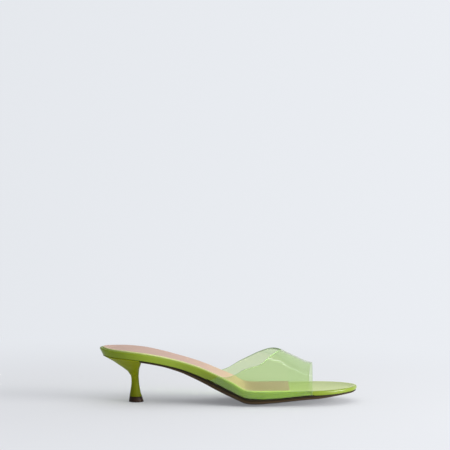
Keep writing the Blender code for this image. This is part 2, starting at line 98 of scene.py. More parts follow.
STRAP_THROAT = STRAP_FRONT - STRAP_CROWN_WIDTH
STRAP_REAR = STRAP_FRONT - STRAP_SIDE_WIDTH
SOCK_LENGTH = STRAP_FRONT - SOCK_TO_STRAP_FRONT
BALL_SHARE = 0.98
BALL_TOP = OUTSOLE_BELLY - TREAD_SINK + OUTSOLE_THICKNESS + CLEARANCE + BALL_SHARE * FOOTBED_THICKNESS

# Plan outline: station as a share of LENGTH, then the half widths as shares of BALL_WIDTH
OUTLINE_COLUMNS = ("station", "lateral", "medial")
OUTLINE = (
    (0.0110, 0.141, 0.141),
    (0.0330, 0.239, 0.239),
    (0.0650, 0.316, 0.316),
    (0.1140, 0.377, 0.375),
    (0.1750, 0.393, 0.391),
    (0.2450, 0.368, 0.357),
    (0.3060, 0.344, 0.321),
    (0.3750, 0.355, 0.324),
    (0.4290, 0.384, 0.340),
    (0.4780, 0.427, 0.378),
    (0.5220, 0.466, 0.424),
    (0.5710, 0.494, 0.468),
    (0.6200, 0.501, 0.488),
    (0.6730, 0.494, 0.499),
    (0.7300, 0.481, 0.504),
    (0.7850, 0.466, 0.503),
    (0.8350, 0.446, 0.506),
    (0.8760, 0.411, 0.485),
    (0.9140, 0.352, 0.440),
    (0.9470, 0.272, 0.374),
    (0.9700, 0.190, 0.301),
    (0.9880, 0.095, 0.220),
)

# Side view: the share of the heel's rise, the share of TOE_SPRING, and both thicknesses
SIDE_COLUMNS = ("station", "rise", "spring", "footbed", "outsole")
SIDE = (
    (0.000, 1.000, 0.00, 1.00, 0.41),
    (0.049, 0.966, 0.00, 1.00, 0.41),
    (0.098, 0.946, 0.00, 1.00, 0.41),
    (0.163, 0.902, 0.00, 1.00, 0.41),
    (0.233, 0.822, 0.00, 1.00, 0.42),
    (0.310, 0.703, 0.00, 1.01, 0.69),
    (0.367, 0.597, 0.00, 1.11, 1.03),
    (0.408, 0.504, 0.00, 1.20, 1.20),
    (0.449, 0.393, 0.00, 1.25, 1.34),
    (0.482, 0.297, 0.00, 1.27, 1.29),
    (0.522, 0.175, 0.00, 1.25, 1.14),
    (0.545, 0.087, 0.00, 1.14, 1.04),
    (0.562, 0.034, 0.00, 1.08, 1.03),
    (0.584, 0.009, 0.00, 1.06, 1.01),
    (0.629, 0.000, 0.00, 1.05, 0.91),
    (0.660, 0.000, 0.08, 1.04, 0.79),
    (0.714, 0.000, 0.20, 0.92, 0.74),
    (0.776, 0.000, 0.45, 0.76, 0.76),
    (0.822, 0.000, 0.60, 0.67, 0.79),
    (0.873, 0.000, 0.72, 0.65, 0.64),
    (0.914, 0.000, 0.86, 0.63, 0.45),
    (0.947, 0.000, 1.00, 0.59, 0.39),
    (0.971, 0.000, 1.05, 0.56, 0.36),
    (1.000, 0.000, 1.30, 0.53, 0.34),
)

# How full the outsole's belly is along the sole, as a share of OUTSOLE_BELLY
BELLY_COLUMNS = ("station", "belly")
BELLY = (
    (0.00, 0.10),
    (0.30, 0.15),
    (0.45, 0.35),
    (0.55, 0.90),
    (0.60, 1.00),
    (0.68, 1.00),
    (0.80, 0.70),
    (0.92, 0.30),
    (1.00, 0.10),
)

# Height of the band's crown over the footbed, as shares of INSTEP_HEIGHT
CROWN_COLUMNS = ("station", "height")
CROWN = (
    (0.410, 0.926),
    (0.482, 1.030),
    (0.543, 1.146),
    (0.604, 1.138),
    (0.637, 1.090),
    (0.669, 1.045),
    (0.700, 1.004),
    (0.735, 0.890),
    (0.776, 0.755),
    (0.800, 0.677),
    (0.822, 0.636),
    (0.850, 0.590),
)

# Half sections of the band from the crown to the footbed's edge: how far out, and how high
SECTION_COLUMNS = ("place", "lateral_out", "lateral_up", "medial_out", "medial_up")
SECTION = (
    (0.00, 0.000, 1.000, 0.000, 1.000),
    (0.14, 0.145, 0.980, 0.150, 0.982),
    (0.28, 0.300, 0.915, 0.305, 0.930),
    (0.42, 0.460, 0.822, 0.460, 0.848),
    (0.56, 0.620, 0.718, 0.612, 0.742),
    (0.68, 0.768, 0.606, 0.755, 0.618),
    (0.78, 0.880, 0.480, 0.868, 0.490),
    (0.86, 0.950, 0.345, 0.942, 0.355),
    (0.93, 0.988, 0.185, 0.985, 0.195),
    (1.00, 1.000, 0.000, 1.000, 0.000),
)

# Topline: how far back of the throat it lies, as a share of the way from the throat to the band's rear end
TOPLINE_COLUMNS = ("place", "lateral_back", "medial_back")
TOPLINE = (
    (0.00, 0.004, 0.010),
    (0.08, 0.010, 0.060),
    (0.18, 0.040, 0.116),
    (0.28, 0.082, 0.168),
    (0.38, 0.135, 0.224),
    (0.46, 0.175, 0.268),
    (0.54, 0.214, 0.320),
    (0.62, 0.260, 0.388),
    (0.68, 0.326, 0.448),
    (0.74, 0.440, 0.506),
    (0.80, 0.530, 0.558),
    (0.87, 0.600, 0.622),
    (0.94, 0.700, 0.714),
    (1.00, 0.868, 0.826),
)

# The same for the margin: where it starts to turn in, and at its inner end
MARGIN_BACK = (0.965, 0.985)

# Places on the band's half section, which counts from 0 at its crown, and where its wall is skived thinner
TOP_EDGE = 1.0
TURN_START = 2.0
TURN_END = 2.5
MARGIN_PLACES = (2.62, 2.75, 2.88, 3.0)
SKIVE_START = 1.3
SKIVE_END = 2.5

# The heel's stem: height, the axis along the seat and the diameter
STEM_COLUMNS = ("height", "axis", "diameter")
STEM = (
    (0.000, 0.866, 0.840),
    (0.080, 0.857, 0.725),
    (0.192, 0.856, 0.620),
    (0.282, 0.855, 0.548),
    (0.402, 0.852, 0.500),
    (0.520, 0.844, 0.515),
)

# The heel's flare: height, its rear and breast along the seat, the half width as a share of the seat's, and how
# far the section has gone from round to the seat's own shape with a flat breast
FLARE_COLUMNS = ("height", "rear", "breast", "width", "seat")
FLARE = (
    (0.586, 0.712, 0.940, 0.210, 0.08),
    (0.645, 0.676, 0.944, 0.270, 0.25),
    (0.705, 0.608, 0.952, 0.375, 0.45),
    (0.770, 0.528, 0.970, 0.515, 0.65),
    (0.845, 0.424, 0.994, 0.680, 0.85),
    (0.930, 0.310, 1.000, 0.840, 1.00),
    (0.965, 0.252, 1.000, 0.889, 1.00),
)

# The heel's ring: how deep the part in front of its widest line is when it is round and at the seat, as a
# share of the ring, and how much squarer than an ellipse the seat's breast is
ROUND_BREAST = 0.50
SEAT_BREAST = 0.08
SEAT_SQUARENESS = 5

# The outsole's side: where each of its corners lies on the way up, as a share of the edge's thickness
CORNER_LOW = 0.04
CORNER_HIGH = 0.14
PALE_TOP = 0.50
STEP_ROUND = 0.54
DARK_FOOT = 0.57
CORNER_INWARD = 0.3

# The most of a thin slab's edge that its round takes, and the angle from which two faces meet in a sharp line
ROUND_LIMIT = 0.4
SHARP_ANGLE = math.radians(42)

# How far to each side a slope is read, as a share of the length
SLOPE_REACH = 0.001

# How closely the pieces are sampled
MESH_MERGE = 1e-6
ROUND_STEPS = 22
HEEL_ROUND_LENGTH = 0.0280
TOE_ROUND_LENGTH = 0.0340
BEND_TO_TOE = 0.1220
BEND_LENGTH = 0.0270
STATION_STEP = 0.0022
BEND_STEP = 0.0012
ACROSS_STEPS = 16
OUTLINE_STEPS = 40
EDGE_STEPS = 5
STRAP_STEPS = 92
STRAP_SMOOTHING = 6
CROWN_STEPS = 58
SIDE_STEPS = 8
TURN_STEPS = 6
HEEL_AROUND = 112
HEEL_RISE_STEPS = 5
TOP_PIECE_STEPS = 7

# Colours, as linear light
WRAP_GREEN = (0.196, 0.270, 0.012)
SHEEN_TINT = (0.90, 1.00, 0.42)
HEEL_GREEN = (0.230, 0.265, 0.004)
SOCK_NUDE = (0.530, 0.352, 0.278)
# The sock's cut wall is coloured pale yellow-green: a painted highlight of the light caught along the footbed's
# rounded top edge.
SOCK_EDGE_HIGHLIGHT = (0.600, 0.660, 0.260)
# The outsole's set-back band is darker than its edge, partly its own colour and partly painted shade of its
# recess.
SOLE_DARK_SHADED = (0.028, 0.018, 0.005)
SOLE_EDGE = (0.054, 0.032, 0.013)
LIFT_BROWN = (0.027, 0.011, 0.004)
BAND_TINT = (0.772, 0.893, 0.595)
BAND_SHADE = (0.860, 0.950, 0.700)
CUT_EDGE = (0.340, 0.510, 0.230)

# The heel end of the wrap is rubbed dull: where it has no polish and from where it has all of it
DULL_END = -0.125
POLISHED_FROM = -0.045

# The floor: its colour, the share of the backdrop's glow in it at its darkest point, and where that share
# starts and stops to grow with the distance from there. The glow is painted light that lifts the shoe's shadow.
FLOOR_PALE = (0.758, 0.756, 0.777)
FLOOR_DARKEST = (-0.09, 0.0, 0.0)
FLOOR_LEAST_GLOW = 0.22
FLOOR_FADE = (0.08, 0.55)
FLOOR_RADIUS = 14.0
FLOOR_SINK = 0.0001

# The backdrop's tone to the left and right, over how much of the view it turns, and how far back it hangs
BACKDROP_LEFT = (0.783, 0.807, 0.847)
BACKDROP_RIGHT = (0.831, 0.855, 0.896)
BACKDROP_TURN = 0.12
BACKDROP_SPAN = 2.0

# The room's brightness at the horizon and overhead, on the near side of the shoe and behind it, then low past
# the toe, and the share of it that is left past the heel. The spans say where each changes into the next
ROOM_WHITE = (0.96, 0.98, 1.0, 1.0)
ROOM_FRONT = (0.30, 0.96)
ROOM_BACK = (0.78, 0.84)
ROOM_TOE = 1.15
ROOM_HEEL = 0.5
RISE_SPAN = (0.0, 0.7)
BACK_SPAN = (-0.4, 0.4)
TOE_SPAN = (-0.1, 0.4)
HEEL_SPAN = (-0.75, -0.15)

# The studio's area lights; along is the direction that their width is laid in
LIGHT_COLUMNS = ("name", "place", "target", "along", "width", "depth", "watts")
LIGHTS = (
    ("key", (1.4, -0.6, 0.45), (0.05, 0.0, 0.02), (0.4, 0.9, 0.0), 0.9, 0.6, 20.5),
    ("toe", (1.0, -0.34, 0.09), (0.12, 0.0, 0.01), (0.34, 0.88, 0.0), 0.5, 0.16, 3.3),
    ("strip", (0.25, 0.375, 1.0), (0.05, 0.0, 0.03), (0.8, 0.24, 0.0), 0.82, 0.03, 0.20),
)

# The camera: a long lens, its distance and elevation from the shoe's middle line on the floor, its tilt down,
# and the station along the shoe from which it looks
LENS = 168.4
SENSOR_WIDTH = 36.0
CAMERA_DISTANCE = 2.007
CAMERA_ELEVATION = math.radians(8.29)
CAMERA_PITCH = math.radians(3.5)
CAMERA_STATION = 0.11875


def column(table, columns, name):
    """One named column of a table, as an array."""
    place = columns.index(name)
    return np.array([row[place] for row in table])


def smooth_line(places, values):
    """A cubic through a table's rows that never swings past them."""
    steps = np.diff(places)
    slopes = np.diff(values) / steps
    tangents = np.zeros(len(places))
    tangents[0] = slopes[0]
    tangents[-1] = slopes[-1]
    for i in range(1, len(places) - 1):
        before, after = slopes[i - 1], slopes[i]
        if before * after > 0:
            weight_before = 2 * steps[i] + steps[i - 1]
            weight_after = steps[i] + 2 * steps[i - 1]
            tangents[i] = (weight_before + weight_after) / (weight_before / before + weight_after / after)

    def value(place):
        place = min(max(place, places[0]), places[-1])
        i = int(np.searchsorted(places, place, side="right")) - 1
        i = min(max(i, 0), len(steps) - 1)
        t = (place - places[i]) / steps[i]
        rest = 1 - t
        start = values[i] * (1 + 2 * t) * rest * rest + tangents[i] * steps[i] * t * rest * rest
        end = values[i + 1] * t * t * (3 - 2 * t) - tangents[i + 1] * steps[i] * t * t * rest
        return start + end

    return value


def table_line(table, columns, name):
    return smooth_line(column(table, columns, columns[0]), column(table, columns, name))


RISE = table_line(SIDE, SIDE_COLUMNS, "rise")
SPRING = table_line(SIDE, SIDE_COLUMNS, "spring")
FOOTBED_SHARE = table_line(SIDE, SIDE_COLUMNS, "footbed")
OUTSOLE_SHARE = table_line(SIDE, SIDE_COLUMNS, "outsole")
BELLY_SHARE = table_line(BELLY, BELLY_COLUMNS, "belly")
CROWN_SHARE = table_line(CROWN, CROWN_COLUMNS, "height")


def footbed_top(x):
    share = x / LENGTH
    return BALL_TOP + RISE(share) * (HEEL_HEIGHT - BALL_TOP) + SPRING(share) * TOE_SPRING


def footbed_bottom(x):
    return footbed_top(x) - FOOTBED_SHARE(x / LENGTH) * FOOTBED_THICKNESS


def outsole_edge_bottom(x):
    return footbed_bottom(x) - CLEARANCE - OUTSOLE_SHARE(x / LENGTH) * OUTSOLE_THICKNESS


def incline(x):
    """How much longer a vertical line through a sloping sheet under the footbed is than the sheet is thick."""
    reach = SLOPE_REACH * LENGTH
    slope = (footbed_bottom(x + reach) - footbed_bottom(x - reach)) / (2 * reach)
    return math.hypot(1.0, slope)


def closed_curve(points, steps):
    """Points on a smooth closed curve through the given ones."""
    count = len(points)
    curve = []
    for i in range(count):
        before, start, end, after = (points[(i + k) % count] for k in (-1, 0, 1, 2))
        for t in np.arange(steps) / steps:
            curve.append(0.5 * (2 * start + (end - before) * t
                                + (2 * before - 5 * start + 4 * end - after) * t ** 2
                                + (3 * start - before - 3 * end + after) * t ** 3))
    return np.array(curve)


def plan_sides():
    """Both sides of the plan outline as dense lines from heel to toe, with their inward normals."""
    stations = column(OUTLINE, OUTLINE_COLUMNS, "station") * LENGTH
    lateral = np.column_stack([stations, -column(OUTLINE, OUTLINE_COLUMNS, "lateral") * BALL_WIDTH])
    medial = np.column_stack([stations, column(OUTLINE, OUTLINE_COLUMNS, "medial") * BALL_WIDTH])
    toe = np.array([[LENGTH, TOE_TIP_OFFSET]])
    points = np.vstack([[[0.0, 0.0]], lateral, toe, medial[::-1]])
    curve = closed_curve(points, OUTLINE_STEPS)
    tangents = np.roll(curve, -1, axis=0) - np.roll(curve, 1, axis=0)
    tangents /= np.linalg.norm(tangents, axis=1)[:, None]
    normals = np.column_stack([-tangents[:, 1], tangents[:, 0]])
    tip = (len(lateral) + 1) * OUTLINE_STEPS
    forward = list(range(tip + 1))
    back = [0] + list(range(len(curve) - 1, tip - 1, -1))
    return (curve[forward], normals[forward]), (curve[back], normals[back])


LATERAL_SIDE, MEDIAL_SIDE = plan_sides()

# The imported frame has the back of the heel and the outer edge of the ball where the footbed's box ends
FRAME_BACK, FRAME_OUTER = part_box("footbed")[0][:2]
SHIFT = np.array([FRAME_BACK, FRAME_OUTER - LATERAL_SIDE[0][:, 1].min(), 0.0])


def edge_point(side, x, inset):
    """The point of a side's outline at a station, moved inward."""
    line, normals = side
    place = np.interp(x, line[:, 0], np.arange(len(line)))
    low = min(int(place), len(line) - 2)
    share = place - low
    point = line[low] * (1 - share) + line[low + 1] * share
    normal = normals[low] * (1 - share) + normals[low + 1] * share
    return point + normal / np.linalg.norm(normal) * inset


def lateral_width(x):
    return -edge_point(LATERAL_SIDE, x, 0)[1]


def medial_width(x):
    return edge_point(MEDIAL_SIDE, x, 0)[1]


def station_list(start, end):
    """Stations between two ends: close together round the heel and the toe and in the bend behind the ball."""
    crowding = 1 - np.cos(np.linspace(0, math.pi / 2, ROUND_STEPS + 1))
    heel = crowding * HEEL_ROUND_LENGTH
    toe = LENGTH - crowding[::-1] * TOE_ROUND_LENGTH
    bend = LENGTH - BEND_TO_TOE
    places = (heel[-1], bend, bend + BEND_LENGTH, toe[0])
    lines = [heel, toe]
    for low, high, step in zip(places, places[1:], (STATION_STEP, BEND_STEP, STATION_STEP)):
        lines.append(np.linspace(low, high, round((high - low) / step) + 1))

    def far_enough(x, cut):
        return cut in (0.0, LENGTH) or abs(x - cut) > STATION_STEP / 3

    stations = sorted(set(np.concatenate(lines)))
    kept = [x for x in stations if start < x < end and far_enough(x, start) and far_enough(x, end)]
    return [start] + kept + [end]


def add_piece(name, data, node, materials):
    """A piece of the shoe in the frame's place that stands for a CAD node and takes the slot's finish."""
    for vertex in data.verts:
        vertex.co += Vector(SHIFT)
    mesh = bpy.data.meshes.new(name)
    data.to_mesh(mesh)
    data.free()
    mesh.shade_smooth()
    mesh.set_sharp_from_angle(angle=SHARP_ANGLE)
    piece = bpy.data.objects.new(name, mesh)
    bpy.context.scene.collection.objects.link(piece)
    for material in materials:
        mesh.materials.append(material)
    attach(piece, "root")
    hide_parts(node)


def loft(rows, start_cap, end_cap, material_of=None):
    """A closed mesh through equal rings; material_of gives a face's slot from its place on the ring."""
    data = bmesh.new()
    rings = [[data.verts.new(Vector(point)) for point in row] for row in rows]
    count = len(rings[0])
    for ring, following in zip(rings, rings[1:]):
        for i in range(count):
            j = (i + 1) % count
            face = data.faces.new((ring[i], ring[j], following[j], following[i]))
            if material_of:
                face.material_index = material_of(i)
    if start_cap:
        data.faces.new(rings[0][::-1])
    if end_cap:
        data.faces.new(rings[-1])
    bmesh.ops.remove_doubles(data, verts=data.verts, dist=MESH_MERGE)
    bmesh.ops.dissolve_degenerate(data, edges=data.edges, dist=MESH_MERGE)
    bmesh.ops.recalc_face_normals(data, faces=data.faces)
    return data


def slab_row(x, layers, top, bottom, end_x=None):
    """One section of a flat piece: up the lateral edge, over the top, down the medial edge and back below.

    Each layer is an inset from the outline and a height over the floor at a station.
    """
    sides = []
    for side in (LATERAL_SIDE, MEDIAL_SIDE):
        points = []
        for inset, height in layers:
            point = edge_point(side, x, inset(x))
            place = point[0] if end_x is None else end_x
            points.append((place, point[1], height(place)))
        sides.append(points)
    lateral, medial = sides

    def across(start, end, surface):
        points = []
        fullness = min(abs(end[1] - start[1]) / (BALL_WIDTH / 2), 1.0)
        for share in np.arange(1, ACROSS_STEPS) / ACROSS_STEPS:
            place_x = start[0] + (end[0] - start[0]) * share
            place_y = start[1] + (end[1] - start[1]) * share
            middle = (1 - (2 * share - 1) ** 2) * fullness
            points.append((place_x, place_y, surface(place_x, middle)))
        return points

    over = across(lateral[-1], medial[-1], top)
    under = across(medial[0], lateral[0], bottom)
    return lateral + over + medial[::-1] + under


def constant(value):
    return lambda x: value


def quarter_round():
    """How far in and how far down an edge's round lies, as shares of its radius, from the side to the top."""
    angles = np.linspace(0, math.pi / 2, EDGE_STEPS + 1)
    return [(1 - math.cos(angle), 1 - math.sin(angle)) for angle in angles]


def build_footbed(materials):
    """The wrapped slab with rounded edges, rebated below where the band's margin turns in."""
    rear = STRAP_REAR - MARGIN_RAMP
    front = STRAP_FRONT + CLEARANCE

    def under_strap(x):
        into = min(x - (rear - MARGIN_RAMP), front + MARGIN_RAMP - x)
        return min(max(into / MARGIN_RAMP, 0.0), 1.0)

    def rebate(x):
        return under_strap(x) * (MARGIN_WALL * incline(x) + CLEARANCE / 2)

    def rebate_inset(x):
        under_margin = under_strap(x) * (MARGIN_WIDTH + CLEARANCE - FOOTBED_EDGE_RADIUS)
        return FOOTBED_EDGE_RADIUS * 2 + under_margin + draft(x)

    def draft(x):
        return HEEL_END_DRAFT * max(1 - x / HEEL_END_LENGTH, 0.0) ** 2

    def drawn_in(inset):
        return lambda x: inset + draft(x)

    def edge_radius(x):
        return min(FOOTBED_EDGE_RADIUS, ROUND_LIMIT * (footbed_top(x) - footbed_bottom(x) - rebate(x)))

    def low(share):
        return lambda x: footbed_bottom(x) + rebate(x) + share * min(edge_radius(x), FOOTBED_LOW_RADIUS)

    def high(share):
        return lambda x: footbed_top(x) - share * edge_radius(x)

    def step_foot(x):
        return rebate_inset(x) + CLEARANCE

    layers = [(step_foot, footbed_bottom), (rebate_inset, low(0.0))]
    layers += [(drawn_in(inward * FOOTBED_LOW_RADIUS), low(drop)) for inward, drop in quarter_round()[::-1]]
    layers += [(constant(inward * FOOTBED_EDGE_RADIUS), high(drop)) for inward, drop in quarter_round()]
    layers.append((constant(SOCK_INSET), high(0.0)))

    def top(x, middle):
        return footbed_top(x) - middle * FOOTBED_DISH

    def bottom(x, middle):
        return footbed_bottom(x)

    ramps = [rear - MARGIN_RAMP, rear, front, front + MARGIN_RAMP]
    kept = [x for x in station_list(0.0, LENGTH) if all(abs(x - place) > MARGIN_RAMP / 2 for place in ramps)]
    rows = [slab_row(x, layers, top, bottom) for x in sorted(kept + ramps)]
    add_piece("footbed_wrap", loft(rows, False, False), "footbed", materials)


def build_sock(materials):
    """The thin lining on the footbed, from the heel to just under the band, cut straight across."""
    def base(x):
        return footbed_top(x) + CLEARANCE / 3

    def crest(x):
        return footbed_top(x) + CLEARANCE + SOCK_THICKNESS

    def round_down(share):
        return lambda x: crest(x) - share * SOCK_EDGE_RADIUS

    layers = [(constant(SOCK_INSET), base)]
    for inward, drop in quarter_round():
        layers.append((constant(SOCK_INSET + inward * SOCK_EDGE_RADIUS), round_down(drop)))

    def top(x, middle):
        return crest(x) - middle * FOOTBED_DISH

    def bottom(x, middle):
        return base(x) - middle * FOOTBED_DISH

    stations = station_list(0.0, SOCK_LENGTH)
    rows = [slab_row(x, layers, top, bottom) for x in stations[:-1]]
    rows.append(slab_row(SOCK_LENGTH, layers, top, bottom, end_x=SOCK_LENGTH))
    wall = len(layers) - 1
    medial = len(layers) + ACROSS_STEPS - 1

    # The faces of the cut wall take the second slot, its pale painted highlight.
    def highlighted_wall(i):
        return 1 if i < wall or medial <= i < medial + wall else 0

    add_piece("sock_lining", loft(rows, False, True, highlighted_wall), "sock", materials)


def build_outsole(materials):
    """The outsole from the breast to the toe: a set-back dark band over a proud paler edge, and a belly."""
    start = HEEL_SEAT_LENGTH + CLEARANCE

    def top_edge(x):
        return footbed_bottom(x) - CLEARANCE

    def at(share):
        return lambda x: outsole_edge_bottom(x) + share * (top_edge(x) - outsole_edge_bottom(x))

    def bottom_surface(x, middle):
        drop = BELLY_SHARE(x / LENGTH) * OUTSOLE_BELLY * middle
        return max(outsole_edge_bottom(x) - drop, 0.0)

    def top_surface(x, middle):
        return top_edge(x)

    rim_share = 2 * OUTSOLE_RIM / BALL_WIDTH
    rim_fullness = 1 - (1 - 2 * rim_share) ** 2
    band = OUTSOLE_INSET + OUTSOLE_STEP
    layers = (
        (constant(OUTSOLE_INSET + OUTSOLE_RIM), lambda x: bottom_surface(x, rim_fullness)),
        (constant(OUTSOLE_INSET + OUTSOLE_EDGE_RADIUS), at(0.0)),
        (constant(OUTSOLE_INSET + CORNER_INWARD * OUTSOLE_EDGE_RADIUS), at(CORNER_LOW)),
        (constant(OUTSOLE_INSET), at(CORNER_HIGH)),
        (constant(OUTSOLE_INSET), at(PALE_TOP)),
        (constant(OUTSOLE_INSET + CORNER_INWARD * OUTSOLE_STEP), at(STEP_ROUND)),
        (constant(band), at(DARK_FOOT)),
        (constant(band), at(1.0)),
        (constant(band + OUTSOLE_RIM), at(1.0)),
    )
    pale_layers = (1, 2, 3, 4)
    medial_start = len(layers) + ACROSS_STEPS - 1

    def edge_slot(i):
        mirrored = medial_start + len(layers) - 2 - i
        return int(i in pale_layers or mirrored in pale_layers)

    stations = station_list(start, LENGTH)
    rows = [slab_row(start, layers, top_surface, bottom_surface, end_x=start)]
    rows += [slab_row(x, layers, top_surface, bottom_surface) for x in stations[1:]]
    add_piece("outsole_edge", loft(rows, True, False, edge_slot), "outsole", materials)


def heel_ring(rear, breast, half_lateral, half_medial, seat, height):
    """A ring round the heel: round when seat is 0, the seat's own outline with a flat breast when it is 1."""
    breast_depth = (breast - rear) * (ROUND_BREAST + (SEAT_BREAST - ROUND_BREAST) * seat)
    centre = breast - breast_depth
    power = 2 / (2 + SEAT_SQUARENESS * seat)
    full_lateral, full_medial = lateral_width(HEEL_SEAT_LENGTH), medial_width(HEEL_SEAT_LENGTH)
    ring = []
    for angle in np.arange(HEEL_AROUND) / HEEL_AROUND * 2 * math.pi:
        along, out = math.cos(angle), math.sin(angle)
        if along >= 0:
            x = centre + breast_depth * abs(along) ** power
            round_out = abs(out) ** power
            seat_out = round_out
        else:
            x = centre - (centre - rear) * abs(along)
            round_out = abs(out)
            place = max((x - rear) / (centre - rear) * HEEL_SEAT_LENGTH, 0.0)
            seat_out = lateral_width(place) / full_lateral if out < 0 else medial_width(place) / full_medial
        share = (1 - seat) * round_out + seat * seat_out
        y = -half_lateral * share if out < 0 else half_medial * share
        z = height(x) if callable(height) else height
        ring.append((x, y, z))
    return ring


def build_heel(materials):
    """The covered heel: a stem on the lift that flares to the seat under the footbed."""
    foot = TOP_PIECE_HEIGHT + CLEARANCE
    seat_height = footbed_bottom(HEEL_SEAT_LENGTH) - CLEARANCE
    full = seat_height - foot
    lateral = lateral_width(HEEL_SEAT_LENGTH) - HEEL_SEAT_INSET
    medial = medial_width(HEEL_SEAT_LENGTH) - HEEL_SEAT_INSET
    mean = (lateral + medial) / 2
    stem = {name: column(STEM, STEM_COLUMNS, name) for name in STEM_COLUMNS}
    flare = {name: column(FLARE, FLARE_COLUMNS, name) for name in FLARE_COLUMNS}
    radius = stem["diameter"] * TOP_PIECE_DIAMETER / 2
    heights = np.concatenate([stem["height"], flare["height"]])
    rear = np.concatenate([stem["axis"] - radius / HEEL_SEAT_LENGTH, flare["rear"]])
    breast = np.concatenate([stem["axis"] + radius / HEEL_SEAT_LENGTH, flare["breast"]])
    width = np.concatenate([radius / mean, flare["width"]])
    seat = np.concatenate([np.zeros(len(STEM)), flare["seat"]])
    lines = [smooth_line(heights, values) for values in (rear, breast, width, seat)]
    even = np.linspace(0, 1, HEEL_RISE_STEPS + 1)[1:]
    steps = [heights[0]] + [low + (high - low) * t for low, high in zip(heights, heights[1:]) for t in even]
    rows = []
    for height in steps:
        at_rear, at_breast, share, to_seat = (line(height) for line in lines)
        half_lateral = share * (mean + (lateral - mean) * to_seat)
        half_medial = share * (mean + (medial - mean) * to_seat)
        rows.append(heel_ring(at_rear * HEEL_SEAT_LENGTH, at_breast * HEEL_SEAT_LENGTH, half_lateral,
                              half_medial, to_seat, foot + height * full))

    def under_footbed(x):
        return footbed_bottom(x) - CLEARANCE

    for round_in, drop in ((0.0, HEEL_EDGE_HEIGHT), (HEEL_EDGE_RADIUS, 0.0)):
        rows.append(heel_ring(HEEL_BACK_INSET + round_in, HEEL_SEAT_LENGTH - round_in, lateral - round_in,
                              medial - round_in, 1.0, lambda x: under_footbed(x) - drop))
    add_piece("heel_cover", loft(rows, True, True), "heel", materials)


def build_top_piece(materials):
    """The round lift that the heel stands on, a little wider at the floor, with softened edges."""
    stem_foot = dict(zip(STEM_COLUMNS, STEM[0]))
    low_radius = TOP_PIECE_DIAMETER / 2
    high_radius = stem_foot["diameter"] * low_radius
    high_centre = stem_foot["axis"] * HEEL_SEAT_LENGTH
    low_centre = high_centre + TOP_PIECE_RAKE
    slope = TOP_PIECE_BEVEL / TOP_PIECE_HEIGHT
    rows = []
    shares = [(slope * drop, TOP_PIECE_BEVEL * inward) for inward, drop in quarter_round()[::-1]]
    shares += [(share, 0.0) for share in np.linspace(slope, 1 - slope / 2, TOP_PIECE_STEPS + 1)[1:]]
    shares.append((1.0, TOP_PIECE_BEVEL / 2))
    for share, inset in shares:
        radius = low_radius + (high_radius - low_radius) * share - inset
        centre = low_centre + (high_centre - low_centre) * share
        height = share * TOP_PIECE_HEIGHT
        rows.append(heel_ring(centre - radius, centre + radius, radius, radius, 0.0, height))
    add_piece("lift", loft(rows, True, True), "top_piece", materials)


def upper_point(side, place, x):
    """A point of the band's inner face: place runs from 0 at the crown by TOP_EDGE at the footbed's top edge
    and by TURN_START and TURN_END, between which the margin turns in, to the last place at its inner end."""
    sign, out_line, up_line, width = side
    edge = width(x) + CLEARANCE
    top = footbed_top(x)
    under = footbed_bottom(x) + MARGIN_WALL * incline(x)
    turn = MARGIN_TURN_RADIUS
    if place <= TOP_EDGE:
        height = CROWN_SHARE(x / LENGTH) * INSTEP_HEIGHT - UPPER_WALL
        y = CROWN_OFFSET + (sign * edge - CROWN_OFFSET) * out_line(place)
        return (x, y, top + height * up_line(place))
    if place <= TURN_START:
        return (x, sign * edge, top + (under + turn - top) * (place - TOP_EDGE) / (TURN_START - TOP_EDGE))
    angle = min((place - TURN_START) / (TURN_END - TURN_START), 1.0) * math.pi / 2
    y = edge - turn + turn * math.cos(angle)
    z = under + turn - turn * math.sin(angle)
    inward = max(place - TURN_END, 0.0) / (MARGIN_PLACES[-1] - TURN_END) * (MARGIN_WIDTH - turn)
    return (x, sign * (y - inward), z)


